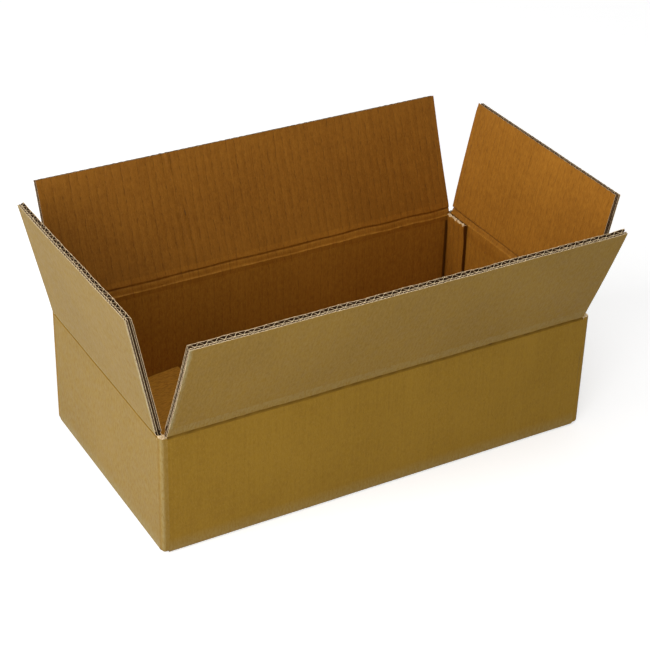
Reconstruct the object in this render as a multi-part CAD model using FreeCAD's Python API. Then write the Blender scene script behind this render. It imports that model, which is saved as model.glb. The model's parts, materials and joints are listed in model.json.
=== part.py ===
# Open cardboard box: a slotted carton folded from one sheet of double-wall
# corrugated board, with its bottom glued shut and its four top flaps open.
# Millimetres. X runs along the long side, Y across, +Z up.
# The origin is the centre of the base, on the surface that the box stands on.

import FreeCAD, Part
import math
import os

Vector = FreeCAD.Vector

# Folded box, outside sizes
BOX_LENGTH = 330.0
BOX_WIDTH = 178.0
CREASE_HEIGHT = 90.0

# Board, from the outside in: liner, small flute, liner, large flute, liner
LINER = 0.3
MEDIUM = 0.25
SMALL_FLUTE_HEIGHT = 1.2
SMALL_FLUTE_PITCH = 3.175
LARGE_FLUTE_HEIGHT = 2.4
LARGE_FLUTE_PITCH = 6.35
FLUTE_DEPTH = 24.0
BOARD = 3 * LINER + SMALL_FLUTE_HEIGHT + LARGE_FLUTE_HEIGHT

# Folds and cuts
FOLD_RADIUS = 2.5
CREASE_GAP = 0.2
FLAP_CLEARANCE = 0.3
SIDE_CLEARANCE = 0.4
MEETING_GAP = 1.0
SEAM_SHIFT = 1.0
FLUTE_MARGIN = 3.0
CORNER_LIFT = 1.2

# Glued joint: the tab at the end of the back wall, inside the right wall
TAB_WIDTH = 24.0
TAB_THICKNESS = 2.5
TAB_FOOT_CLEARANCE = 1.0
CUT_EDGE_SHORTFALL = 0.6

# Glue beads between the two layers of the bottom
BEAD_LENGTH = 60.0
BEAD_WIDTH = 8.0
BEAD_FROM_WALL = 16.0
BEAD_FROM_SEAM = 30.0

# Outward lean of each open flap from upright, in degrees
FRONT_LEAN = 23.0
BACK_LEAN = 21.0
LEFT_LEAN = 13.0
RIGHT_LEAN = 11.5

# What follows from the sizes above.
# The short sides' flaps fold first, so their creases lie one board lower.
crease_step = BOARD + FLAP_CLEARANCE
long_crease = CREASE_HEIGHT + crease_step / 2
short_crease = CREASE_HEIGHT - crease_step / 2
side_inset = BOARD + SIDE_CLEARANCE
long_flap = BOX_WIDTH / 2 - MEETING_GAP / 2
short_flap = long_flap + crease_step
half_length = BOX_LENGTH / 2
half_width = BOX_WIDTH / 2
inner_half_length = half_length - BOARD
inner_half_width = half_width - BOARD
bottom_top = 2 * BOARD + FLAP_CLEARANCE
long_flap_width = BOX_LENGTH - 2 * side_inset
short_flap_width = BOX_WIDTH - 2 * side_inset


def block(low, high):
    """A box from its lowest corner to its highest."""
    size = Vector(*high) - Vector(*low)
    return Part.makeBox(size.x, size.y, size.z, Vector(*low))


def prism(points, along):
    """A closed outline of points, extruded along a vector."""
    corners = [Vector(*point) for point in points]
    wire = Part.makePolygon(corners + corners[:1])
    return Part.Face(wire).extrude(Vector(*along))


def upright_corner(edge, x, y):
    """Whether an edge is the vertical one at x, y."""
    ends = [vertex.Point for vertex in edge.Vertexes]
    return all(abs(end.x - x) < 1e-6 and abs(end.y - y) < 1e-6 for end in ends)


def foot_rounding(along, side, reach, half_run):
    """What is outside the rounded fold at the foot of one wall; along is X or Y."""
    start = Vector(-half_run, reach - FOLD_RADIUS, 0)
    bar = Part.makeBox(2 * half_run, FOLD_RADIUS, FOLD_RADIUS, start)
    fold = Part.makeCylinder(FOLD_RADIUS, 2 * half_run, start + Vector(0, 0, FOLD_RADIUS), Vector(1, 0, 0))
    rounding = bar.cut(fold)
    turn = {("X", 1): 0, ("Y", -1): 90, ("X", -1): 180, ("Y", 1): -90}[(along, side)]
    rounding.rotate(Vector(0, 0, 0), Vector(0, 0, 1), turn)
    return rounding


def outer_form():
    """The outside of the four walls, rounded where the board is folded."""
    form = block((-half_length, -half_width, 0), (half_length, half_width, short_crease - CREASE_GAP))
    folded = [(-half_length, -half_width), (half_length, -half_width), (-half_length, half_width)]
    edges = [edge for edge in form.Edges for x, y in folded if upright_corner(edge, x, y)]
    form = form.makeFillet(FOLD_RADIUS, edges)
    for side in (-1, 1):
        form = form.cut(foot_rounding("X", side, half_width, half_length))
        form = form.cut(foot_rounding("Y", side, half_length, half_width))
    raised = short_crease - CREASE_GAP - FOLD_RADIUS
    flap_end = half_length - side_inset
    for side in (-1, 1):
        near, far = sorted((side * half_width, side * inner_half_width))
        form = form.fuse(block((-flap_end, near, raised), (flap_end, far, long_crease - CREASE_GAP)))
    return form


def inside_space():
    """The space that the box holds, down to the two layers of the bottom."""
    free_edge = half_length - short_flap
    space = block((-inner_half_length, -inner_half_width, bottom_top),
                  (inner_half_length, inner_half_width, long_crease + BOARD))
    middle = block((-free_edge, -inner_half_width, BOARD), (free_edge, inner_half_width, bottom_top))
    return space.fuse(middle)


def bottom_gaps():
    """What parts the bottom flaps from each other and from the walls."""
    flap_end = half_length - side_inset
    free_edge = half_length - short_flap
    layer_low, layer_high = BOARD, BOARD + FLAP_CLEARANCE
    # The seam between the long flaps lies a little behind the box's middle.
    gaps = [block((-inner_half_length, SEAM_SHIFT - MEETING_GAP / 2, 0),
                  (inner_half_length, SEAM_SHIFT + MEETING_GAP / 2, BOARD))]
    for side in (-1, 1):
        low, high = sorted((side * flap_end, side * inner_half_length))
        gaps.append(block((low, -half_width, 0), (high, half_width, BOARD)))
        low, high = sorted((side * free_edge, side * inner_half_length))
        gaps.append(block((low, -inner_half_width, layer_low), (high, inner_half_width, layer_high)))
        for edge in (-1, 1):
            near, far = sorted((edge * (half_width - side_inset), edge * inner_half_width))
            gaps.append(block((low, near, layer_low), (high, far, bottom_top)))
            corner_x = sorted((side * flap_end, side * half_length))
            corner_y = sorted((edge * (half_width - side_inset), edge * half_width))
            gaps.append(block((corner_x[0], corner_y[0], 0), (corner_x[1], corner_y[1], CORNER_LIFT)))
    return gaps


def crease_grooves():
    """The pressed grooves inside the top creases, which let the flaps fold in."""
    grooves = []
    for side in (-1, 1):
        long_top = long_crease - CREASE_GAP
        face, inner = side * half_width, side * inner_half_width
        outline = [(-half_length, face, long_top), (-half_length, inner, long_top),
                   (-half_length, inner, long_top - BOARD)]
        grooves.append(prism(outline, (BOX_LENGTH, 0, 0)))
        short_top = short_crease - CREASE_GAP
        face, inner = side * half_length, side * inner_half_length
        outline = [(face, -inner_half_width, short_top), (inner, -inner_half_width, short_top),
                   (inner, -inner_half_width, short_top - BOARD)]
        grooves.append(prism(outline, (0, 2 * inner_half_width, 0)))
    return grooves


def joint_notch():
    """The outside of the glued corner: the back wall's fold and the right wall's cut end."""
    top = long_crease
    corner = block((inner_half_length - FOLD_RADIUS, half_width - FOLD_RADIUS, 0),
                   (inner_half_length, half_width, top))
    fold = Part.makeCylinder(FOLD_RADIUS, top, Vector(inner_half_length - FOLD_RADIUS,
                                                      half_width - FOLD_RADIUS, 0))
    cut_end = block((inner_half_length, half_width - CUT_EDGE_SHORTFALL, 0),
                    (half_length, half_width, top))
    return [corner.cut(fold), cut_end]


def glue_tab():
    """The pressed tab that carries the back wall round onto the right wall."""
    low = (inner_half_length - TAB_THICKNESS, inner_half_width - TAB_WIDTH, bottom_top + TAB_FOOT_CLEARANCE)
    high = (inner_half_length, inner_half_width, short_crease - BOARD - FLAP_CLEARANCE)
    return block(low, high)


def glue_beads():
    """Beads of glue that hold the short bottom flaps down on the long ones."""
    beads = []
    for side in (-1, 1):
        near = side * (inner_half_length - BEAD_FROM_WALL)
        x_low, x_high = sorted((near, near - side * BEAD_LENGTH))
        for edge in (-1, 1):
            y_low, y_high = sorted((edge * BEAD_FROM_SEAM, edge * (BEAD_FROM_SEAM + BEAD_WIDTH)))
            beads.append(block((x_low, y_low, BOARD), (x_high, y_high, BOARD + FLAP_CLEARANCE)))
    return beads


def folded_body():
    """Walls, glued bottom and glue tab: all of the sheet that doesn't move."""
    body = outer_form().cut(inside_space())
    body = body.cut(Part.makeCompound(bottom_gaps()))
    body = body.cut(Part.makeCompound(crease_grooves() + joint_notch()))
    return body.multiFuse([glue_tab()] + glue_beads()).removeSplitter()


def flute_holes(width, low, height, pitch):
    """Triangular openings on both sides of one zigzag medium, as closed wires."""
    slant = math.hypot(height, pitch / 2)
    medium_width = MEDIUM * slant / height
    share = 1 - medium_width / pitch
    count = int((width - 2 * FLUTE_MARGIN) / pitch - 0.5)
    start = -(count + 0.5) * pitch / 2
    holes = []
    for index in range(count):
        left = start + index * pitch
        for shift, base, tip in ((0, low, low + height * share),
                                 (pitch / 2, low + height, low + height * (1 - share))):
            first = left + shift + medium_width / 2
            last = left + shift + pitch - medium_width / 2
            corners = [Vector(first, base, 0), Vector(last, base, 0), Vector((first + last) / 2, tip, 0)]
            holes.append(Part.makePolygon(corners + corners[:1]))
    return holes


def fluted_edge(width, length):
    """The last stretch of a flap, with the flutes open at its free edge."""
    corners = [Vector(-width / 2, 0, 0), Vector(width / 2, 0, 0),
               Vector(width / 2, BOARD, 0), Vector(-width / 2, BOARD, 0)]
    outline = Part.makePolygon(corners + corners[:1])
    small = flute_holes(width, LINER, SMALL_FLUTE_HEIGHT, SMALL_FLUTE_PITCH)
    large = flute_holes(width, 2 * LINER + SMALL_FLUTE_HEIGHT, LARGE_FLUTE_HEIGHT, LARGE_FLUTE_PITCH)
    face = Part.makeFace([outline] + small + large, "Part::FaceMakerBullseye")
    edge = face.extrude(Vector(0, 0, FLUTE_DEPTH))
    edge.translate(Vector(0, 0, length - FLUTE_DEPTH))
    return edge


def flap(width, length):
    """A flap standing on its crease line, with its outside facing -Y."""
    base = [(-width / 2, 0, CREASE_GAP), (-width / 2, BOARD, BOARD + CREASE_GAP),
            (-width / 2, BOARD, length - FLUTE_DEPTH), (-width / 2, 0, length - FLUTE_DEPTH)]
    return prism(base, (width, 0, 0)).fuse(fluted_edge(width, length)).removeSplitter()


def placed(shape, lean, reach, crease, turn):
    """A copy of a flap, leaning out over its crease and turned to its side of the box."""
    copy = shape.copy()
    copy.rotate(Vector(0, 0, 0), Vector(1, 0, 0), lean)
    copy.translate(Vector(0, -reach, crease))
    copy.rotate(Vector(0, 0, 0), Vector(0, 0, 1), turn)
    return copy


def nodes():
    long_one = flap(long_flap_width, long_flap)
    short_one = flap(short_flap_width, short_flap)
    return {
        "folded_body": folded_body(),
        "front_flap": placed(long_one, FRONT_LEAN, half_width, long_crease, 0),
        "right_flap": placed(short_one, RIGHT_LEAN, half_length, short_crease, 90),
        "back_flap": placed(long_one, BACK_LEAN, half_width, long_crease, 180),
        "left_flap": placed(short_one, LEFT_LEAN, half_length, short_crease, -90),
    }


def main():
    os.makedirs("parts", exist_ok=True)
    for name, shape in nodes().items():
        shape.exportStep(f"parts/{name}.step")
        box = shape.BoundBox
        print(f"{name}: {len(shape.Solids)} solid, valid {shape.isValid()}, {shape.Volume:.0f} mm3, "
              f"x {box.XMin:.2f} {box.XMax:.2f}, y {box.YMin:.2f} {box.YMax:.2f}, "
              f"z {box.ZMin:.2f} {box.ZMax:.2f}")


main()
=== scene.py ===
import json
import math
from collections import namedtuple

import bpy
import numpy as np
from mathutils import Matrix, Vector


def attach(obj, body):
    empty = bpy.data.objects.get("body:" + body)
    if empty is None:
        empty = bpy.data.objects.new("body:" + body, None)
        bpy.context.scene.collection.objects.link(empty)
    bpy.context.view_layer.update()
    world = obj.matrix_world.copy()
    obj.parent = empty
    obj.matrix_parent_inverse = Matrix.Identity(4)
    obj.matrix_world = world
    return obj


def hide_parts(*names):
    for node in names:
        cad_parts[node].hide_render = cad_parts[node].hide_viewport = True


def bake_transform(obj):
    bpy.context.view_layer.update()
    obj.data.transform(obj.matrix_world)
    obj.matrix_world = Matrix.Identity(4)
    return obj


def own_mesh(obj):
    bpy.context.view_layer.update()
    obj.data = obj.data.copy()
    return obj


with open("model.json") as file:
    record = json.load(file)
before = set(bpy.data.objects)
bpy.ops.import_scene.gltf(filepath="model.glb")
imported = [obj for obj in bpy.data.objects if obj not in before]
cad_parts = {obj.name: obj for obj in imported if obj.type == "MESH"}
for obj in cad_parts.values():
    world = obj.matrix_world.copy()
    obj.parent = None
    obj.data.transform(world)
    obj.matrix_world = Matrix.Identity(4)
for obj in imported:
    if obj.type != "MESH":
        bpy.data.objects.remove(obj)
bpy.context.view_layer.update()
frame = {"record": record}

MM = 0.001

# The folded box, as in the CAD model: its outer size, the board's thickness, and the radius
# outside its folds
BOX_LENGTH = 330.0
BOX_WIDTH = 178.0
BOARD = 4.5
FOLD_RADIUS = 2.5
HALF_LENGTH = BOX_LENGTH / 2
HALF_WIDTH = BOX_WIDTH / 2
# How far the flaps stop short of the corners, and half their width
SIDE_INSET = 4.9
LONG_HALF = HALF_LENGTH - SIDE_INSET
SHORT_HALF = HALF_WIDTH - SIDE_INSET
# The flaps' lengths: the long ones meet at a seam, and the short ones lie a layer deeper
MEETING_GAP = 1.0
LAYER_GAP = 0.3
LONG_FLAP = HALF_WIDTH - MEETING_GAP / 2
SHORT_FLAP = LONG_FLAP + BOARD + LAYER_GAP
# How far the bottom's seam lies behind the middle
SEAM_SHIFT = 1.0
# The radius inside the folds, and the heights of the folded corners and of the cut end at the
# glued corner, which aren't the CAD model's
INNER_FOLD_RADIUS = 0.4
CORNER_TOP = 90.4
GLUED_CORNER_TOP = 91.2
# Where points stand round the folds, in degrees: at the foot, the corners and the tab
FOOT_ANGLES = (0, 25, 45, 65, 90)
CORNER_ANGLES = (15, 30, 45, 60, 75, 90)
TAB_FOLD_ANGLES = (90, 68, 45, 22)

# The rows of points up a wall, between its foot and its crease strip
WALL_ROWS = (12.0, 24.0, 36.0, 48.0, 60.0, 70.0, 78.0, 80.0)
# The corner folds stand a little off the floor: how high, up to where, and the rows below that
CORNER_RAISE, CORNER_RAISE_TOP, RAISED_ROWS = 1.1, 50.0, 8
# How ragged the tops of the folded corners are, and how rubbed the corners and the walls' feet
CORNER_RAGGED, CORNER_RUB, FOOT_RUB = 0.3, 0.25, 0.2
# Where the right wall's folded form ends and its open cut end begins, and that end's clearance
RIGHT_END = 78.0
GLUED_END_GAP = 0.6

# The glue tab: its reach along the wall, its faces, its foot, the fold below its loose top, the
# top's height and its lean
TAB_NEAR, TAB_FAR = 59.8, 83.2
TAB_INNER, TAB_OUTER = 158.2, 160.4
TAB_FOOT = 10.3
TAB_FOLD = 77.0
TAB_TOP = 92.3
TAB_TOP_LEAN = 0.9
# The tab's points across, the spacing of its rows, how ragged its torn top is, the curl of its
# near edge, and the large flutes pressed through it
TAB_COLUMNS, TAB_ROW = 40, 2.0
TAB_RAGGED = 0.5
TAB_CURL, TAB_CURL_REACH, TAB_CURL_TOP = 0.5, 3.0, 50
TAB_RIPPLE, TAB_UNEVEN = 0.12, 0.25
# The painted shadow of the tab on the wall above it: its height, softness and darkness
TAB_SHADOW, TAB_SHADOW_SOFT, TAB_SHADOW_DARK = 89.3, 1.5, 0.9
# The painted shade along the tab's two edges, in the gaps at its loose edge and at the corner:
# their widths, and the far one's darkness
TAB_NEAR_LINE, TAB_FAR_LINE, TAB_FAR_PAINTED_SHADE = 0.8, 1.2, 0.8
# The rubbed rim of its torn top: its height and wear
TAB_RIM, TAB_RIM_WEAR = 1.5, 0.7
# The painted shade in the fold where the back wall turns into the tab: its width and darkness
TAB_FOLD_SHADE, TAB_FOLD_PAINTED_SHADE = 1.2, 0.9

# Board layers, from the outside in: the liners' and the fluted papers' thickness, then each
# fluted layer's height and pitch, and how much a flute's place wanders, as a share of its pitch
LINER = 0.30
MEDIUM = 0.24
SMALL_HEIGHT = 1.16
LARGE_HEIGHT = BOARD - 3 * LINER - SMALL_HEIGHT
SMALL_PITCH = 3.175
LARGE_PITCH = 6.35
FLUTE_WANDER = 0.10

# The faces' relief: ridges and sharp valleys over the large flutes and how uneven they are,
# ripple over the small flutes, and a slow swell
RIDGE, VALLEY, VALLEY_WIDTH, RIDGE_UNEVEN = 0.055, 0.035, 0.12, 0.5
SMALL_RIPPLE = 0.012
SWELL = 0.05

# The crushed free end: its length, its rows of points as shares of that, how far the layers are
# pressed together, how unevenly and at most, their sideways shift, and how ragged each cut is
EDGE_ZONE = 7.0
EDGE_ROWS = (1, 0.75, 0.5, 0.32, 0.18, 0.08, 0)
CRUSH, CRUSH_UNEVEN, CRUSH_MOST = 0.045, 0.04, 0.2
EDGE_SHIFT = 0.10
LINER_RAGGED, INNER_RAGGED, MEDIUM_RAGGED = 0.08, 0.11, 0.14
RAGGED_WAVE, RAGGED_LOSS = 4.0, 1.2

# Spacing of the mesh columns across the flutes, and of its rows along them
COLUMN = 0.85
BOTTOM_COLUMN = 1.27
HIDDEN_COLUMN = 2.5
COLUMNS_PER_FLUTE = 10
LINER_ROW, CORE_ROW = 13.0, 26.0
# Edges bent by more degrees than this stay sharp
SHARP_ANGLE = 38
# The scale of the board's own map, which carries the patterns of the paper
MAP_PER_MM = 0.01

# Creases: how far the scored strip reaches below the fold's axis, and above it on three sides
# and on the right, and how far from the axis it bends at rest
STRIP = 6.5
TALL_STRIP = 9.5
FOLD_REACH = 2.6
# The crease in section, outside and inside: millimetres from its line, depth or height, and the
# painted shade along the outer groove and painted highlights on the inner crease's lips
OUTER_SCORE = (-1.6, -1.2, -0.8, -0.4, 0.0, 0.4, 0.8, 1.2, 1.6)
OUTER_DEPTH = (0.0, 0.1, 0.55, 1.1, 1.3, 1.1, 0.6, 0.15, 0.0)
OUTER_PAINTED_SHADE = (0.0, -0.15, -0.75, -1.0, -1.0, -1.0, -0.6, -0.1, 0.1)
INNER_SCORE = (-3.4, -3.0, -2.4, -1.8, -0.6, 0.6, 1.2, 1.55, 1.9, 2.3, 2.8, 3.3)
INNER_HEIGHT = (0.0, 0.02, 0.16, -0.5, -0.7, -0.85, -0.95, -0.95, -0.85, -0.5, 0.0, 0.0)
INNER_PAINTED_HIGHLIGHT = (0.0, 0.12, 0.40, 0.08, 0.05, 0.10, 0.30, 0.0, 0.0, 0.0, 0.0, 0.0)
# The dark slit at the upper side of the inner crease: its place, half width, depth, the painted
# shade that darkens it, and how open it is on each side
SLIT_LINE, SLIT_WIDTH, SLIT_DEPTH, SLIT_PAINTED_SHADE = 1.9, 0.45, 0.9, 1.2
SLIT = {"front": 0.6, "right": 0.65, "back": 0.22, "left": 0.6}
# How far the scored line strays from straight, how uneven its depth is, and how far in from the
# strip's rims the pressed form inside begins
SCORE_STRAY, SCORE_UNEVEN, SCORE_RIM = 0.2, 0.12, 1.5
# The strip's rows: their spacing, the least distance between two of them, and the spacing in the
# hidden middle liner
STRIP_ROW, LEAST_ROW, MIDDLE_ROW = 1.6, 0.12, 2.0

# Each side: its turn about Z, the distance of its wall, half its flap's width, the flap's length
# and lean in degrees, the crease's height as drawn outside and inside, the reach of its strip
# above the axis, and the seed of its random patterns
Side = namedtuple("Side", "turn reach half length lean outer_line inner_line strip_top seed")
SIDES = {
    "front": Side(0, HALF_WIDTH, LONG_HALF, LONG_FLAP, 23.0, 90.0, 91.5, STRIP, 100),
    "right": Side(90, HALF_LENGTH, SHORT_HALF, SHORT_FLAP, 11.5, 91.0, 93.5, TALL_STRIP, 200),
    "back": Side(180, HALF_WIDTH, LONG_HALF, LONG_FLAP, 21.0, 91.0, 92.2, STRIP, 300),
    "left": Side(-90, HALF_LENGTH, SHORT_HALF, SHORT_FLAP, 13.0, 90.0, 90.0, STRIP, 400),
}
# The height of each flap's hinge, by the body that swings on it
AXIS_HEIGHT = {joint["child"]: joint["pos_m"][2] / MM
               for joint in frame["record"]["behaviour"]["joints"]}
# How far a short bottom flap springs up from the long ones under it, in degrees
BOTTOM_SPRING = {"left": 6.6}
# What sets a bottom flap's random patterns apart from its side's top flap
BOTTOM_SEED = 50

# The flaps' curl at rest: what keeps a short flap clear of the long ones, the left one's twist,
# the arches, the back one's free corner with its reach, and how soon after the crease it begins
CURL = 0.15
LEFT_TWIST = 2.4
RIGHT_ARCH = 0.4
FRONT_ARCH = 0.7
BACK_ARCH = 0.5
ARCH_UNEVEN = 0.4
BACK_CORNER, BACK_CORNER_REACH = 1.2, 90
CURL_START = 4.0
# The faint crease up the back flap: its place, its drift towards the free edge, its width and
# depth, and the flanks pressed out beside it
PLEAT, PLEAT_DRIFT = 54.0, 9.0
PLEAT_WIDTH, PLEAT_DEPTH = 1.3, 0.30
FLANK, FLANK_HEIGHT = 2.2, 0.45
# The left flap's far end: its rise and how far that reaches, and its rounded corner's depth and
# width
LEFT_RISE, LEFT_RISE_REACH = 1.6, 95.0
LEFT_CORNER, LEFT_CORNER_WIDTH = 1.2, 1.5

# Paper that is rubbed pale: how far in from a flap's two ends, and from its free edge, that
# edge's wear beside the ends', and how much of it all is rubbed and how unevenly
RUBBED_ENDS = {"front": (3.2, 0.8), "right": (0.8, 0.8), "back": (0.8, 0.8), "left": (0.8, 3.0)}
RUBBED_EDGE, RUBBED_EDGE_WEAR = 0.8, 0.25
RUBBED_SHARE, RUBBED_UNEVEN = 0.62, 0.30
# Painted light and sheen that make the outer paper of walls and flaps paler, most on the left ones;
# inside, painted light that makes some panels paler and painted shade that makes the back flap
# darker
WALL_PAINTED_LIGHT = {"left": 0.20, "right": 0.04, "back": 0.04}
FLAP_PAINTED_LIGHT = {"left": 0.22, "front": 0.095, "right": 0.07, "back": 0.06}
INSIDE_PAINTED_LIGHT = {"bottom_left": 0.65, "wall_back": 0.15, "wall_right": 0.09, "flap_right": 0.10,
                "flap_back": -0.18}

# Camera, fitted to the photograph
AZIMUTH, ELEVATION, ROLL = -30.33, 31.24, 1.72
DISTANCE = 1326.9
TARGET = (31.8, 49.4, 45.0)
FOCAL_PIXELS = 1800.0
FRAME_PIXELS = 650.0
SENSOR_WIDTH = 36.0

# Studio light: each lamp's place in metres, its width in metres and its power in watts, what
# they point at, and the level of the studio round them
LAMPS = {
    "key": ((-2.3, 0.25, 1.35), 1.4, 35.5),
    "fill": ((-0.68, -0.80, 0.48), 0.8, 6.3),
    "top": ((0.0, -0.6, 2.2), 1.6, 10.5),
}
LAMP_AIM = (0.0, 0.0, 0.08)
STUDIO_LEVEL = 0.34
# The floor: half its width in metres, its shade as seen and as it lights the box, and its glow
FLOOR_HALF = 6.0
FLOOR_SHADE = (0.80, 0.80, 0.80)
FLOOR_BOUNCE = (0.45, 0.45, 0.45)
FLOOR_GLOW = 0.50

OUTSIDE, INSIDE, FLUTING, CUT = range(4)


def wobble(x, seed, wavelength, terms=5):
    """A smooth random curve of about unit height, the same on each run."""
    rng = np.random.default_rng(seed)
    total = np.zeros_like(np.asarray(x, float))
    for _ in range(terms):
        length = wavelength * rng.uniform(0.6, 1.9)
        total = total + np.sin(2 * np.pi * (x / length + rng.uniform()))
    return total / math.sqrt(terms)


def smooth(t):
    """0 to 1 as t goes from 0 to 1, level at both ends."""
    t = np.clip(t, 0, 1)
    return t * t * (3 - 2 * t)


def bump(x, width):
    """1 at 0, falling off to each side."""
    return np.exp(-(x / width) ** 2)


def sampled(start, end, step):
    """Even values from start to end, at most a step apart."""
    count = max(2, int(math.ceil((end - start) / step)) + 1)
    return np.linspace(start, end, count)


class Build:
    """Collects grids of points into one mesh."""

    def __init__(self):
        self.points, self.maps, self.wear, self.faces, self.slots = [], [], [], [], []
        self.total = 0

    def add(self, points, maps, wear):
        """Adds an (n, m, 3) grid with its board coordinates and its wear and painted light and
        shade, and returns its indices.
        """
        shape = points.shape[:2]
        count = shape[0] * shape[1]
        index = np.arange(self.total, self.total + count).reshape(shape)
        self.points.append(points.reshape(-1, 3))
        self.maps.append(maps.reshape(-1, 2))
        self.wear.append(np.broadcast_to(wear, shape).reshape(-1))
        self.total += count
        return index

    def quads(self, a, slot):
        """Faces between the neighbours in a grid of indices."""
        faces = np.stack([a[:-1, :-1], a[1:, :-1], a[1:, 1:], a[:-1, 1:]], -1).reshape(-1, 4)
        self.faces.append(faces)
        self.slots.append(np.full(len(faces), slot))

    def slab(self, outer, inner, maps, slots, outer_wear=0.0, inner_wear=0.0):
        """A closed sheet between two grids; slots are for outside, inside, ends and sides.
        The wear value is above 0 where the paper is rubbed pale and where light and sheen are
        painted on, and below 0 where shade is painted into folds, gaps and slits."""
        a, b = self.add(outer, maps, outer_wear), self.add(inner, maps, inner_wear)
        self.quads(a, slots[0])
        self.quads(b[::-1], slots[1])
        self.quads(np.stack([b[:, 0], a[:, 0]], 1), slots[2])
        self.quads(np.stack([a[:, -1], b[:, -1]], 1), slots[2])
        self.quads(np.stack([b[0], a[0]]), slots[3])
        self.quads(np.stack([a[-1], b[-1]]), slots[3])

    def piece(self, name, materials, place=None):
        """Makes the mesh object, with its points moved by place."""
        points = np.concatenate(self.points)
        if place is not None:
            points = place(points)
        faces = np.concatenate(self.faces)
        mesh = bpy.data.meshes.new(name)
        mesh.from_pydata((points * MM).tolist(), [], faces.tolist())
        for material in materials:
            mesh.materials.append(material)
        mesh.polygons.foreach_set("material_index", np.concatenate(self.slots).astype(np.int32))
        layer = mesh.uv_layers.new(name="board")
        maps = np.concatenate(self.maps)[faces.reshape(-1)]
        layer.data.foreach_set("uv", (maps * MAP_PER_MM).astype(np.float32).reshape(-1))
        wear = mesh.attributes.new("wear", "FLOAT", "POINT")
        wear.data.foreach_set("value", np.concatenate(self.wear).astype(np.float32))
        mesh.shade_smooth()
        mesh.set_sharp_from_angle(angle=math.radians(SHARP_ANGLE))
        mesh.update()
        item = bpy.data.objects.new(name, mesh)
        bpy.context.scene.collection.objects.link(item)
        return item


def turned(points, degrees):
    """The points, turned about Z."""
    a = math.radians(degrees)
    x, y = points[..., 0], points[..., 1]
    return np.stack([x * math.cos(a) - y * math.sin(a), x * math.sin(a) + y * math.cos(a),
                     points[..., 2]], -1)


def hinge_place(side, lean):
    """From a flap's own frame (crease at the origin, outside -Y, length +Z) to the box."""
    a = math.radians(lean)

    def place(points):
        x, y, z = points[..., 0], points[..., 1], points[..., 2]
        out = np.stack([x, y * math.cos(a) - z * math.sin(a) - SIDES[side].reach,
                        y * math.sin(a) + z * math.cos(a) + AXIS_HEIGHT[side]], -1)
        return turned(out, SIDES[side].turn)

    return place


def bottom_place(side, height):
    """From a flap's own frame to the bottom of the box: outside down, length inwards."""
    slope = math.tan(math.radians(BOTTOM_SPRING.get(side, 0.0)))

    def place(points):
        x, y, z = points[..., 0], points[..., 1], points[..., 2]
        level = np.maximum(y + height + slope * np.maximum(z - BOARD, 0.0), 0.0)
        return turned(np.stack([-x, z - SIDES[side].reach, level], -1), SIDES[side].turn)

    return place


def washboard(x, z, seed):
    """How far the inner liner stands proud of its mean plane, over the large flutes."""
    phase = 2 * np.pi * x / LARGE_PITCH
    ridge = RIDGE * np.cos(phase) - VALLEY * bump(np.cos(phase / 2), VALLEY_WIDTH)
    uneven = 1 + RIDGE_UNEVEN * wobble(x, seed, 40) * wobble(z + 3 * x, seed + 1, 60)
    return ridge * uneven + SWELL * wobble(x + 0.3 * z, seed + 2, 55)


def outer_waviness(x, z, seed):
    """How far the outer liner is pressed in from its mean plane, over the small flutes."""
    ripple = SMALL_RIPPLE * np.cos(2 * np.pi * x / SMALL_PITCH)
    return ripple + SWELL * wobble(x + 0.4 * z, seed + 5, 90)


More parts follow.
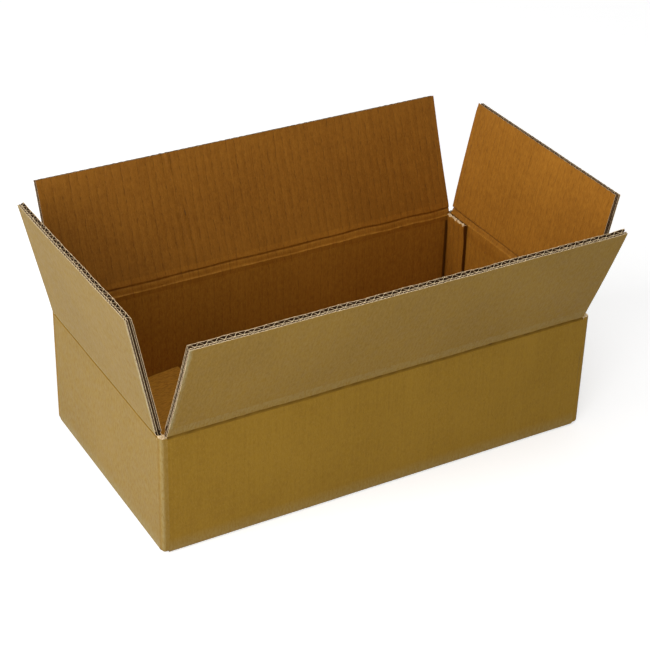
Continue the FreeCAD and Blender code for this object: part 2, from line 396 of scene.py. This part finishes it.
def board(build, width, span, seed, lift=0.0, column=COLUMN, bend=None, clip=None, wear=None,
          inner_wear=0.0):
    """Five layers of double-wall board, x over width and z over span, crushed at its free end.
    lift is added to z for the patterns, bend moves the finished points, clip(x) shortens the
    free end, the outer wear function says how rubbed the outer face is and the painted light and
    sheen on it, and the inner value gives the painted light and shade on the inner face."""
    z_low, z_high = span
    edge = z_high - EDGE_ZONE
    edge_rows = z_high - EDGE_ZONE * np.array(EDGE_ROWS)
    liner_rows = np.concatenate([sampled(z_low, edge, LINER_ROW)[:-1], edge_rows])
    core_rows = np.concatenate([sampled(z_low, edge, CORE_ROW)[:-1], edge_rows[::3]])

    def sheet(x, rows, front, back, slots, ragged, ragged_seed, outer_wear=None, back_wear=0.0):
        """front and back give each face's x and y across the flutes."""
        z = np.broadcast_to(rows, (len(x), len(rows)))
        near_end = np.clip((z - edge) / EDGE_ZONE, 0, 1)
        trim = ragged * (wobble(x, ragged_seed, RAGGED_WAVE) - RAGGED_LOSS)
        if clip is not None:
            trim = trim - clip(x)
        z = z + near_end * trim[:, None]
        pressed = np.clip(CRUSH + CRUSH_UNEVEN * wobble(x, seed + 11, 26), 0, CRUSH_MOST)
        crush = 1 - smooth(near_end) * pressed[:, None]
        shift = smooth(near_end) * EDGE_SHIFT * wobble(x, seed + 12, 48)[:, None]
        sides = []
        for face_x, face_y in (front, back):
            gx = np.broadcast_to(face_x[:, None], z.shape)
            if callable(face_y):
                gy = face_y(gx, z + lift)
            else:
                gy = np.broadcast_to(face_y[:, None], z.shape)
            gy = gy * crush + shift
            sides.append(np.stack(bend(gx, gy, z) if bend else (gx, gy, z), -1))
        gx = np.broadcast_to(x[:, None], z.shape)
        maps = np.stack([gx, z + lift], -1)
        front_wear = 0.0 if outer_wear is None else outer_wear(gx, z)
        build.slab(sides[0], sides[1], maps, slots, front_wear, back_wear)

    middle = LINER + SMALL_HEIGHT
    inner = BOARD - LINER
    x = sampled(*width, column)
    sheet(x, liner_rows, (x, lambda gx, gz: outer_waviness(gx, gz, seed)),
          (x, lambda gx, gz: LINER + outer_waviness(gx, gz, seed)),
          (OUTSIDE, FLUTING, CUT, CUT), LINER_RAGGED, seed + 21, wear)
    sheet(x, liner_rows, (x, lambda gx, gz: inner + washboard(gx, gz, seed)),
          (x, lambda gx, gz: BOARD + washboard(gx, gz, seed)),
          (FLUTING, INSIDE, CUT, CUT), INNER_RAGGED, seed + 23, None, inner_wear)
    x = sampled(*width, HIDDEN_COLUMN)
    sheet(x, core_rows, (x, np.full(len(x), middle)), (x, np.full(len(x), middle + LINER)),
          (FLUTING, FLUTING, CUT, CUT), LINER_RAGGED, seed + 22)
    slots = (FLUTING, FLUTING, CUT, CUT)
    for low, height, pitch, salt in ((LINER, SMALL_HEIGHT, SMALL_PITCH, 24),
                                     (middle + LINER, LARGE_HEIGHT, LARGE_PITCH, 25)):
        x = sampled(*width, pitch / COLUMNS_PER_FLUTE)
        phase = 2 * np.pi * (x + FLUTE_WANDER * pitch * wobble(x, seed + salt, 60)) / pitch
        centre = low + height / 2 + (height - MEDIUM) / 2 * np.cos(phase)
        slope = np.gradient(centre, x)
        length = np.sqrt(1 + slope ** 2)
        half_x, half_y = -slope / length * MEDIUM / 2, MEDIUM / 2 / length
        front = (np.clip(x - half_x, *width), centre - half_y)
        back = (np.clip(x + half_x, *width), centre + half_y)
        sheet(x, core_rows, front, back, slots, MEDIUM_RAGGED, seed + salt + 5)


def flap_bend(side):
    """The slow curl of each flap, as the photograph shows it. The short flaps curl only inwards
    and the long ones outwards, so that they lie on each other when the box is shut."""
    half, length, start = SIDES[side].half, SIDES[side].length, SIDES[side].strip_top

    def bend(x, y, z):
        t = np.clip((z - start) / (length - start), 0, 1)
        arch = np.sin(np.pi * t)
        if side == "left":
            bow = CURL + LEFT_TWIST * smooth((half + x) / (2 * half)) * t
        elif side == "right":
            bow = CURL + RIGHT_ARCH * arch
        elif side == "back":
            off = x - PLEAT - PLEAT_DRIFT * t
            flanks = bump(off - FLANK, PLEAT_WIDTH) + bump(off + FLANK, PLEAT_WIDTH)
            pleat = PLEAT_DEPTH * bump(off, PLEAT_WIDTH) - FLANK_HEIGHT * flanks
            arched = (BACK_ARCH + ARCH_UNEVEN * wobble(x, 5, 220)) * arch
            corner = BACK_CORNER * smooth((x - half + BACK_CORNER_REACH) / BACK_CORNER_REACH) * t
            bow = pleat * smooth(t * 6) - arched - corner
        else:
            bow = -FRONT_ARCH * arch * (1 + ARCH_UNEVEN * wobble(x, 8, 200))
        return x, y + bow * smooth((z - start) / CURL_START), z

    return bend


def flap_wear(side):
    """Rubbed paper along a flap's free edges, wider where the photograph shows it, with painted
    light and sheen added over the whole flap.
    """
    half, length, seed = SIDES[side].half, SIDES[side].length, SIDES[side].seed
    low_end, high_end = RUBBED_ENDS[side]

    def wear(x, z):
        uneven = np.clip(RUBBED_SHARE + RUBBED_UNEVEN * wobble(z + x, seed + 41, 9), 0, 1)
        sides = smooth(1 - (x + half) / low_end) + smooth(1 - (half - x) / high_end)
        end = RUBBED_EDGE_WEAR * smooth(1 - (length - z) / RUBBED_EDGE)
        # The flap's painted light and sheen is added over the rubbed edges.
        return np.clip(sides + end, 0, 1) * uneven + FLAP_PAINTED_LIGHT[side]

    return wear


def flap_clip(side):
    """The left flap's far end stands a little higher, with its corner rounded off by wear."""
    if side != "left":
        return None
    half = SIDES[side].half

    def clip(x):
        rise = LEFT_RISE * np.clip(1 - (x + half) / LEFT_RISE_REACH, 0, 1) ** 1.3
        return LEFT_CORNER * smooth(1 - (x + half) / LEFT_CORNER_WIDTH) - rise

    return clip


def crease_strip(side):
    """The scored and crushed board between a wall and its flap, as three liners."""
    half, seed, axis = SIDES[side].half, SIDES[side].seed, AXIS_HEIGHT[side]
    top = SIDES[side].strip_top
    build = Build()

    def folded(x, d, y):
        """d runs up the sheet from the axis, and y in from its outer face."""
        turn = math.radians(SIDES[side].lean) * smooth((d + FOLD_REACH) / (2 * FOLD_REACH))
        c, s = np.cos(turn), np.sin(turn)
        return np.stack([x, y * c - d * s, y * s + d * c], -1)

    def rows_about(line, score):
        rows = np.concatenate([sampled(-STRIP, top, STRIP_ROW), line + np.array(score)])
        rows = np.sort(rows[(rows >= -STRIP) & (rows <= top)])
        keep = np.concatenate([[True], np.diff(rows) > LEAST_ROW])
        keep[-1] = True
        return rows[keep]

    def grids(column, rows):
        x = sampled(-half, half, column)
        return np.meshgrid(x, rows, indexing="ij")

    line = SIDES[side].outer_line - axis
    x, d = grids(COLUMN, rows_about(line, OUTER_SCORE))
    away = d - line - SCORE_STRAY * wobble(x, seed + 3, 70)
    uneven = 1 + SCORE_UNEVEN * wobble(x, seed + 4, 9)
    depth = np.interp(away, OUTER_SCORE, OUTER_DEPTH) * uneven
    outer = outer_waviness(x, d + axis, seed) + depth
    # Painted shade in the outer groove, with a faint painted highlight just above it.
    wear = np.interp(away, OUTER_SCORE, OUTER_PAINTED_SHADE) * (0.9 + 0.15 * wobble(x, seed + 7, 12))
    upper = smooth(away / 2)
    # Painted light and sheen on the wall below the crease and the flap above it.
    wear = wear + WALL_PAINTED_LIGHT.get(side, 0.0) * (1 - upper) + FLAP_PAINTED_LIGHT[side] * upper
    build.slab(folded(x, d, outer), folded(x, d, outer + LINER),
               np.stack([x, d + axis], -1), (OUTSIDE, FLUTING, CUT, CUT), wear)

    line = SIDES[side].inner_line - axis
    x, d = grids(COLUMN, rows_about(line, INNER_SCORE))
    away = d - line - SCORE_STRAY * wobble(x, seed + 6, 60)
    uneven = 1 + SCORE_UNEVEN * wobble(x, seed + 8, 14)
    slit = SLIT[side] * bump(away - SLIT_LINE, SLIT_WIDTH)
    inside_rims = smooth(np.minimum(d + STRIP, top - d) / SCORE_RIM)
    height = (np.interp(away, INNER_SCORE, INNER_HEIGHT) - SLIT_DEPTH * slit) * uneven * inside_rims
    inner = BOARD + washboard(x, d + axis, seed) * (1 - 0.6 * bump(away, 3.0)) + height
    patchy = np.clip(0.75 + 0.4 * wobble(x, seed + 9, 8), 0, 1.2)
    # Painted highlights on the inner crease's lips, less the painted shade in its slit.
    wear = np.interp(away, INNER_SCORE, INNER_PAINTED_HIGHLIGHT) * patchy - SLIT_PAINTED_SHADE * slit
    if side == "right":
        # Painted shadow: darkens the wall's inner face just above the tab's top.
        tab_shadow_band = bump(d + axis - TAB_SHADOW, TAB_SHADOW_SOFT)
        wear = wear - TAB_SHADOW_DARK * smooth((x - TAB_NEAR) / TAB_SHADOW_SOFT) * tab_shadow_band
    build.slab(folded(x, d, inner - LINER), folded(x, d, inner),
               np.stack([x, d + axis], -1), (FLUTING, INSIDE, CUT, CUT), 0.0, wear)

    x, d = grids(HIDDEN_COLUMN, sampled(-STRIP, top, MIDDLE_ROW))
    middle = np.full(x.shape, LINER + SMALL_HEIGHT)
    build.slab(folded(x, d, middle), folded(x, d, middle + LINER),
               np.stack([x, d + axis], -1), (FLUTING, FLUTING, CUT, CUT))
    return build


def corner_columns(name, other):
    """The plan of the folded corner after a side: the outer face's points and directions, with
    the inner face's points beside them, in that side's frame."""
    side, end = SIDES[name], SIDES[other].reach
    run = end - FOLD_RADIUS - side.half
    other_run = side.reach - FOLD_RADIUS - SIDES[other].half
    outer = [((side.half + run * t, -side.reach), (0, -1)) for t in (0.01, 0.5, 1.0)]
    for a in np.radians(CORNER_ANGLES):
        point = (end - FOLD_RADIUS * (1 - math.sin(a)),
                 FOLD_RADIUS * (1 - math.cos(a)) - side.reach)
        outer.append((point, (math.sin(a), -math.cos(a))))
    outer += [((end, FOLD_RADIUS + other_run * t - side.reach), (1, 0)) for t in (0.5, 0.99)]
    columns = []
    for index, (point, normal) in enumerate(outer):
        angle = math.pi / 2 * (index + 0.5) / len(outer)
        inner = (end - BOARD - INNER_FOLD_RADIUS * (1 - math.sin(angle)),
                 BOARD - side.reach + INNER_FOLD_RADIUS * (1 - math.cos(angle)))
        columns.append((point, inner, normal, side.half + index * 0.8))
    return columns


def walls():
    """The four walls as one folded form, open at the glued corner."""
    build = Build()
    foot = [(FOLD_RADIUS * (1 - math.sin(a)), FOLD_RADIUS * (1 - math.cos(a)))
            for a in np.radians(FOOT_ANGLES)]
    heights = np.array([z for _, z in foot] + list(WALL_ROWS) + [0.0])
    insets = np.array([inset for inset, _ in foot] + [0.0] * (len(WALL_ROWS) + 1))
    columns = []
    tab_fold = -HALF_LENGTH + BOARD + FOLD_RADIUS
    for a in np.radians(TAB_FOLD_ANGLES):
        outer = (tab_fold - FOLD_RADIUS * math.sin(a),
                 FOLD_RADIUS * (1 - math.cos(a)) - HALF_WIDTH)
        inner = (BOARD - HALF_LENGTH + 0.2 * a, BOARD - HALF_WIDTH)
        columns.append(("back", outer, inner, (-math.sin(a), -math.cos(a)), tab_fold, False))
    for name, other in (("back", "left"), ("left", "front"), ("front", "right"), ("right", None)):
        side = SIDES[name]
        low = tab_fold if name == "back" else -side.half
        high = side.half if other else RIGHT_END
        for x in sampled(low, high, COLUMN):
            columns.append((name, (x, -side.reach), (x, BOARD - side.reach), (0, -1), x, False))
        if other:
            columns += [(name, *column, True) for column in corner_columns(name, other)]
    outer_grid, inner_grid, maps, wear, inner_wear = [], [], [], [], []
    for number, (name, outer, inner, normal, x, corner) in enumerate(columns):
        side = SIDES[name]
        z = heights.copy()
        gx = np.full(len(z), x)
        if corner:
            z[-1] = CORNER_TOP + CORNER_RAGGED * wobble(number, 71, 5.0)
            z[:RAISED_ROWS] += CORNER_RAISE * (1 - z[:RAISED_ROWS] / CORNER_RAISE_TOP)
            depth, lift = insets, np.zeros(len(z))
        else:
            z[-1] = AXIS_HEIGHT[name] - STRIP
            depth = insets + outer_waviness(gx, z, side.seed)
            lift = washboard(gx, z, side.seed)
        outer_points = np.stack([outer[0] - normal[0] * depth,
                                 outer[1] - normal[1] * depth, z], -1)
        inner_points = np.stack([np.full(len(z), inner[0]), inner[1] + lift, z], -1)
        outer_grid.append(turned(outer_points, side.turn))
        inner_grid.append(turned(inner_points, side.turn))
        maps.append(np.stack([gx, z], -1))
        rub = CORNER_RUB * abs(2 * normal[0] * normal[1]) if corner else 0.0
        # Painted light and sheen on the wall's outer paper, half as much on the folded corners.
        painted_light = WALL_PAINTED_LIGHT.get(name, 0.0) * (1 - 0.5 * corner)
        wear.append(np.where(z < FOLD_RADIUS, FOOT_RUB, 0.0) + rub + painted_light)
        # Painted shade in the fold at the tab; elsewhere the inner face takes the inside's painted
        # light and shade.
        in_tab_fold = name == "back" and x < tab_fold + TAB_FOLD_SHADE
        tone = -TAB_FOLD_PAINTED_SHADE if in_tab_fold else INSIDE_PAINTED_LIGHT.get(f"wall_{name}", 0.0)
        inner_wear.append(np.full(len(z), tone))
    build.slab(np.array(outer_grid), np.array(inner_grid), np.array(maps),
               (OUTSIDE, INSIDE, CUT, CUT), np.array(wear), np.array(inner_wear))
    return build


def glued_end():
    """The right wall's last stretch, cut through its layers beside the back wall."""
    build = Build()
    seed = SIDES["right"].seed
    board(build, (RIGHT_END, SHORT_HALF), (0.0, AXIS_HEIGHT["right"] - STRIP), seed)
    board(build, (SHORT_HALF, HALF_WIDTH - GLUED_END_GAP), (0.0, GLUED_CORNER_TOP), seed)
    return build


def tab(low, high, ragged):
    """The pressed glue tab on the inside of the right wall, or its loose top, from low to high;
    ragged is 1 where its upper end is torn, and 0 where it isn't."""
    build = Build()
    across = np.linspace(TAB_NEAR, TAB_FAR, TAB_COLUMNS)
    y, z = np.meshgrid(across, sampled(low, high, TAB_ROW), indexing="ij")
    up = np.clip((z - low) / (high - low), 0, 1)
    z = z + ragged * smooth(up * 3 - 2) * TAB_RAGGED * (wobble(y, 61, 3.0) - 1)
    lean = TAB_TOP_LEAN * smooth((z - TAB_FOLD) / (TAB_TOP - TAB_FOLD))
    curl = TAB_CURL * bump(y - TAB_NEAR, TAB_CURL_REACH) * smooth((TAB_CURL_TOP - z) / TAB_CURL_TOP)
    ripple = TAB_RIPPLE * np.cos(2 * np.pi * y / LARGE_PITCH) + TAB_UNEVEN * wobble(y, 63, 9)
    outer = np.stack([TAB_OUTER - lean, y, z], -1)
    inner = np.stack([TAB_INNER - lean - curl + ripple, y, z], -1)
    rim = TAB_RIM_WEAR * ragged * smooth(1 - (high - z) / TAB_RIM)
    # Painted shade in the gaps along the tab's near and far edges; the pale torn rim is the paper's
    # own wear.
    near_painted_shade = smooth(1 - (y - TAB_NEAR) / TAB_NEAR_LINE)
    far_painted_shade = TAB_FAR_PAINTED_SHADE * smooth(1 - (TAB_FAR - y) / TAB_FAR_LINE)
    wear = rim - near_painted_shade - far_painted_shade
    # The tab's outer face, in the gap against the wall, is painted fully dark as shade.
    build.slab(outer, inner, np.stack([y, z], -1), (INSIDE, INSIDE, CUT, INSIDE), -1.0, wear)
    return build


# Materials


class Nodes:
    """A short way to write a node tree."""

    def __init__(self, name):
        self.material = bpy.data.materials.new(name)
        self.material.use_nodes = True
        self.tree = self.material.node_tree
        self.tree.nodes.clear()

    def new(self, kind, inputs=None, **settings):
        """A node with its settings; each input is a value, or an output to link to it."""
        node = self.tree.nodes.new(kind)
        for key, value in settings.items():
            setattr(node, key, value)
        for key, value in (inputs or {}).items():
            if isinstance(value, bpy.types.NodeSocket):
                self.tree.links.new(value, node.inputs[key])
            else:
                node.inputs[key].default_value = value
        return node

    def math(self, operation, a, b=0.0, clamp=False):
        """One step of arithmetic."""
        node = self.new("ShaderNodeMath", {0: a, 1: b}, operation=operation, use_clamp=clamp)
        return node.outputs[0]

    def total(self, *terms):
        """The sum of (value, weight) pairs."""
        result = self.math("MULTIPLY", *terms[0])
        for value, weight in terms[1:]:
            result = self.math("ADD", result, self.math("MULTIPLY", value, weight))
        return result

    def noise(self, vector, scale, detail=2.0, roughness=0.5):
        """Scale is one number, or one for each direction of the vector."""
        if isinstance(scale, tuple):
            scaled = self.new("ShaderNodeVectorMath", {0: vector, 1: scale}, operation="MULTIPLY")
            vector, scale = scaled.outputs[0], 1.0
        inputs = {"Vector": vector, "Scale": scale, "Detail": detail, "Roughness": roughness}
        return self.new("ShaderNodeTexNoise", inputs).outputs["Fac"]

    def ramp(self, value, low, high, a=0.0, b=1.0):
        """a where the value is low, b where it is high, and a straight line between."""
        inputs = {"Value": value, "From Min": low, "From Max": high, "To Min": a, "To Max": b}
        return self.new("ShaderNodeMapRange", inputs, clamp=True).outputs["Result"]

    def mix(self, factor, a, b):
        """Colour a where the factor is 0, and b where it is 1."""
        node = self.new("ShaderNodeMix", {"Factor": factor}, data_type="RGBA")
        for key, value in (("A", a), ("B", b)):
            socket = next(s for s in node.inputs if s.name == key and s.type == "RGBA")
            if isinstance(value, bpy.types.NodeSocket):
                self.tree.links.new(value, socket)
            else:
                socket.default_value = value
        return next(s for s in node.outputs if s.type == "RGBA")

    def finish(self, colour, rough, height, depth, specular):
        """The matt paper shader, its relief depth in metres."""
        relief = self.new("ShaderNodeBump", {"Height": height, "Distance": depth, "Strength": 1.0})
        inputs = {"Base Color": colour, "Roughness": rough, "Normal": relief.outputs["Normal"]}
        shader = self.new("ShaderNodeBsdfPrincipled", inputs)
        shader.inputs["Specular IOR Level"].default_value = specular
        output = self.new("ShaderNodeOutputMaterial")
        self.tree.links.new(shader.outputs["BSDF"], output.inputs["Surface"])
        return self.material


def rgb(r, g, b):
    """An opaque colour, in linear light."""
    return (r, g, b, 1.0)


# The patterns of the paper. In the room: soft clouds and mottling. On the board's own map, by
# their scale across the flutes and along them: streaks, grain, fibres, the drift and the breaks
# of the dark lines, and specks
CLOUDS, MOTTLING = 16.0, 190.0
STREAKS, GRAIN, FIBRES = (55.0, 2.0, 1.0), (75.0, 24.0, 1.0), (300.0, 45.0, 1.0)
LINE_DRIFT, LINE_BREAKS = (12.0, 9.0, 1.0), (34.0, 22.0, 1.0)
SPECKS = (160.0, 80.0, 1.0)
# The width of a dark line, as the cosine's height over the valley
LINE_WIDTH = 0.24
# The relief of bare fibre, in metres
BARE_RELIEF = 0.0002


def kraft(name, pitch, line_strength, colours, specular, relief):
    """Kraft paper over flutes: fibres and streaks along the flutes, broken dark lines in their
    valleys, soft mottling, specks, rubbed edges and painted light, and painted shade in folds, gaps
    and slits."""
    worn_and_painted_light, pale, mid, deep, speckled, painted_shade = colours
    n = Nodes(name)
    board_map = n.new("ShaderNodeUVMap", uv_map="board").outputs["UV"]
    place = n.new("ShaderNodeTexCoord").outputs["Object"]
    wear = n.new("ShaderNodeAttribute", attribute_name="wear").outputs["Fac"]
    cloud = n.noise(place, CLOUDS, 3.0, 0.5)
    mottle = n.noise(place, MOTTLING, 3.0, 0.65)
    streak = n.noise(board_map, STREAKS, 3.0, 0.6)
    grain = n.noise(board_map, GRAIN, 2.0, 0.6)
    fibre = n.noise(board_map, FIBRES, 2.0, 0.6)
    across = n.new("ShaderNodeSeparateXYZ", {0: board_map}).outputs["X"]
    drift = n.ramp(n.noise(board_map, LINE_DRIFT, 1.0), 0.2, 0.8, -0.5, 0.5)
    half_turns = n.math("MULTIPLY", across, 1 / MAP_PER_MM / pitch * math.pi)
    half_turns = n.math("ADD", half_turns, drift)
    line = n.ramp(n.math("ABSOLUTE", n.math("COSINE", half_turns)), 0.0, LINE_WIDTH, 1.0, 0.0)
    dashes = n.ramp(n.noise(board_map, LINE_BREAKS, 3.0, 0.75), 0.43, 0.63)
    line = n.math("MULTIPLY", line, dashes)
    tone = n.total((cloud, 0.28), (streak, 0.24), (mottle, 0.24), (grain, 0.28))
    colour = n.mix(n.ramp(tone, 0.43, 0.61), deep, mid)
    colour = n.mix(n.ramp(fibre, 0.48, 0.80, 0.0, 0.45), colour, pale)
    colour = n.mix(n.math("MULTIPLY", line, line_strength), colour, speckled)
    speck = n.noise(board_map, SPECKS, 1.0, 0.4)
    colour = n.mix(n.ramp(speck, 0.70, 0.80, 0.0, 0.75), colour, speckled)
    colour = n.mix(n.ramp(speck, 0.30, 0.20, 0.0, 0.6), colour, pale)
    patchy = n.ramp(grain, 0.35, 0.60, 0.45, 1.0)
    # Above 0 the attribute mixes in the worn colour, for real rubbing and for painted light; below
    # 0 it mixes in painted shade.
    rubbed_and_painted_light = n.math("MULTIPLY", n.math("MAXIMUM", wear, 0.0), patchy, clamp=True)
    colour = n.mix(rubbed_and_painted_light, colour, worn_and_painted_light)
    colour = n.mix(n.math("MULTIPLY", wear, -1.0, clamp=True), colour, painted_shade)
    height = n.total((fibre, 0.4), (mottle, 0.4), (grain, 0.5), (line, -0.9))
    return n.finish(colour, n.ramp(mottle, 0.3, 0.7, 0.52, 0.70), height, relief, specular)


def plain_fibre(name, dark, light, scale, specular, low, high):
    """Bare paper fibre, for the fluting and the cut edges: dark where the noise is below low,
    and light where it is above high."""
    n = Nodes(name)
    place = n.new("ShaderNodeTexCoord").outputs["Object"]
    coarse = n.noise(place, scale, 3.0, 0.7)
    fine = n.noise(place, scale * 4.0, 2.0, 0.6)
    tone = n.total((coarse, 0.6), (fine, 0.4))
    colour = n.mix(n.ramp(tone, low, high), dark, light)
    return n.finish(colour, n.ramp(fine, 0.3, 0.7, 0.7, 0.9), tone, BARE_RELIEF, specular)


# Paper colours: worn paper that also serves for painted light, pale, middling and deep paper,
# specks, and the painted shade of folds, gaps and slits
OUTSIDE_COLOURS = (rgb(0.44, 0.42, 0.25), rgb(0.40, 0.25, 0.054), rgb(0.312, 0.172, 0.016),
                   rgb(0.256, 0.136, 0.010), rgb(0.13, 0.07, 0.008), rgb(0.165, 0.085, 0.008))
INSIDE_COLOURS = (rgb(0.64, 0.30, 0.036), rgb(0.48, 0.24, 0.034), rgb(0.335, 0.128, 0.011),
                  rgb(0.240, 0.084, 0.006), rgb(0.105, 0.035, 0.003), rgb(0.090, 0.030, 0.002))
MATERIALS = (
    kraft("kraft_outside", SMALL_PITCH, 0.16, OUTSIDE_COLOURS, 0.14, 0.00006),
    kraft("kraft_inside", LARGE_PITCH, 0.72, INSIDE_COLOURS, 0.12, 0.00014),
    plain_fibre("fluting", rgb(0.055, 0.025, 0.010), rgb(0.130, 0.066, 0.027), 900.0, 0.1,
                0.35, 0.65),
    plain_fibre("cut_edge", rgb(0.36, 0.22, 0.100), rgb(0.90, 0.70, 0.43), 1100.0, 0.2,
                0.36, 0.54),
)


# Pieces


def finish_piece(item, *nodes):
    """Hides the CAD nodes that the piece takes the place of, if any, and returns the piece."""
    if nodes:
        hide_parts(*nodes)
    return item


def glued_end_place(points):
    """From the right wall's own frame to the box."""
    return turned(points + np.array([0, -HALF_LENGTH, 0]), 90)


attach(finish_piece(walls().piece("walls", MATERIALS), "folded_body"), "box")
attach(finish_piece(glued_end().piece("glued_end", MATERIALS, glued_end_place)), "box")
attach(finish_piece(tab(TAB_FOOT, TAB_FOLD, 0.0).piece("glue_tab", MATERIALS)), "box")
tab_top = finish_piece(tab(TAB_FOLD, TAB_TOP, 1.0).piece("glue_tab_top", MATERIALS))
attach(tab_top, "box")
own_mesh(tab_top)

for name, side in SIDES.items():
    build = Build()
    if name in ("front", "back"):
        seam = SEAM_SHIFT if name == "front" else -SEAM_SHIFT
        span, level = (BOARD / 2, HALF_WIDTH + seam - MEETING_GAP / 2), 0.0
    else:
        span, level = (BOARD, SHORT_FLAP), BOARD + LAYER_GAP
    # The left bottom flap's inner face takes painted light.
    board(build, (-side.half, side.half), span, side.seed + BOTTOM_SEED, column=BOTTOM_COLUMN,
          inner_wear=INSIDE_PAINTED_LIGHT.get(f"bottom_{name}", 0.0))
    bottom = build.piece(f"bottom_{name}", MATERIALS, bottom_place(name, level))
    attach(finish_piece(bottom), "box")

for name, side in SIDES.items():
    build = Build()
    # Each flap takes rubbing and painted light and sheen outside, and painted light and shade
    # inside.
    board(build, (-side.half, side.half), (side.strip_top, side.length), side.seed,
          lift=AXIS_HEIGHT[name], bend=flap_bend(name), clip=flap_clip(name), wear=flap_wear(name),
          inner_wear=INSIDE_PAINTED_LIGHT.get(f"flap_{name}", 0.0))
    flap = build.piece(f"{name}_flap_board", MATERIALS, hinge_place(name, side.lean))
    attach(finish_piece(flap, f"{name}_flap"), name)
    strip = crease_strip(name).piece(f"{name}_crease", MATERIALS, hinge_place(name, 0.0))
    finish_piece(strip)
    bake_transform(strip)


# Floor, light and camera


def floor():
    """A plain floor that looks white, keeps the shadow, and lights the box less than it looks."""
    mesh = bpy.data.meshes.new("floor")
    half = FLOOR_HALF
    corners = [(-half, -half, 0), (half, -half, 0), (half, half, 0), (-half, half, 0)]
    mesh.from_pydata(corners, [], [(0, 1, 2, 3)])
    item = bpy.data.objects.new("floor", mesh)
    bpy.context.scene.collection.objects.link(item)
    n = Nodes("floor_white")
    rays = n.new("ShaderNodeLightPath").outputs
    seen = n.math("ADD", rays["Is Camera Ray"], rays["Is Glossy Ray"], clamp=True)
    seen = n.math("ADD", seen, rays["Is Transmission Ray"], clamp=True)
    shade = n.mix(seen, rgb(*FLOOR_BOUNCE), rgb(*FLOOR_SHADE))
    diffuse = n.new("ShaderNodeBsdfDiffuse", {"Color": shade})
    glow = n.new("ShaderNodeEmission", {"Strength": n.math("MULTIPLY", seen, FLOOR_GLOW)})
    total = n.new("ShaderNodeAddShader", {0: diffuse.outputs[0], 1: glow.outputs[0]})
    output = n.new("ShaderNodeOutputMaterial")
    n.tree.links.new(total.outputs[0], output.inputs["Surface"])
    mesh.materials.append(n.material)


def lamp(name, place, size, power):
    """A round soft lamp that points at the box."""
    data = bpy.data.lights.new(name, "AREA")
    data.shape = "DISK"
    data.size = size
    data.energy = power
    item = bpy.data.objects.new(name, data)
    item.location = place
    item.rotation_euler = (Vector(place) - Vector(LAMP_AIM)).to_track_quat("Z", "Y").to_euler()
    bpy.context.scene.collection.objects.link(item)


def sky():
    """An even grey studio that the camera sees as white."""
    world = bpy.data.worlds.new("studio")
    bpy.context.scene.world = world
    world.use_nodes = True
    tree = world.node_tree
    tree.nodes.clear()
    rays = tree.nodes.new("ShaderNodeLightPath").outputs
    strength = tree.nodes.new("ShaderNodeMapRange")
    strength.inputs["To Min"].default_value = STUDIO_LEVEL
    strength.inputs["To Max"].default_value = 1.0
    tree.links.new(rays["Is Camera Ray"], strength.inputs["Value"])
    background = tree.nodes.new("ShaderNodeBackground")
    background.inputs["Color"].default_value = rgb(1, 1, 1)
    tree.links.new(strength.outputs["Result"], background.inputs["Strength"])
    output = tree.nodes.new("ShaderNodeOutputWorld")
    tree.links.new(background.outputs[0], output.inputs["Surface"])


def camera():
    """The photograph's camera: round the target by azimuth and elevation, then rolled."""
    az, el, roll = (math.radians(a) for a in (AZIMUTH, ELEVATION, ROLL))
    back = Vector((math.sin(az) * math.cos(el), -math.cos(az) * math.cos(el), math.sin(el)))
    right = Vector((math.cos(az), math.sin(az), 0))
    up = back.cross(right)
    across = right * math.cos(roll) + up * math.sin(roll)
    upward = -right * math.sin(roll) + up * math.cos(roll)
    data = bpy.data.cameras.new("camera")
    data.sensor_fit = "HORIZONTAL"
    data.sensor_width = SENSOR_WIDTH
    data.lens = FOCAL_PIXELS / FRAME_PIXELS * SENSOR_WIDTH
    data.clip_start, data.clip_end = 0.05, 30.0
    item = bpy.data.objects.new("camera", data)
    rotation = Matrix((across, upward, back)).transposed()
    place = Vector(TARGET) * MM + back * DISTANCE * MM
    item.matrix_world = Matrix.Translation(place) @ rotation.to_4x4()
    bpy.context.scene.collection.objects.link(item)
    bpy.context.scene.camera = item


floor()
sky()
for lamp_name, (place, size, power) in LAMPS.items():
    lamp(lamp_name, place, size, power)
camera()

bpy.context.scene.view_settings.view_transform = "Standard"
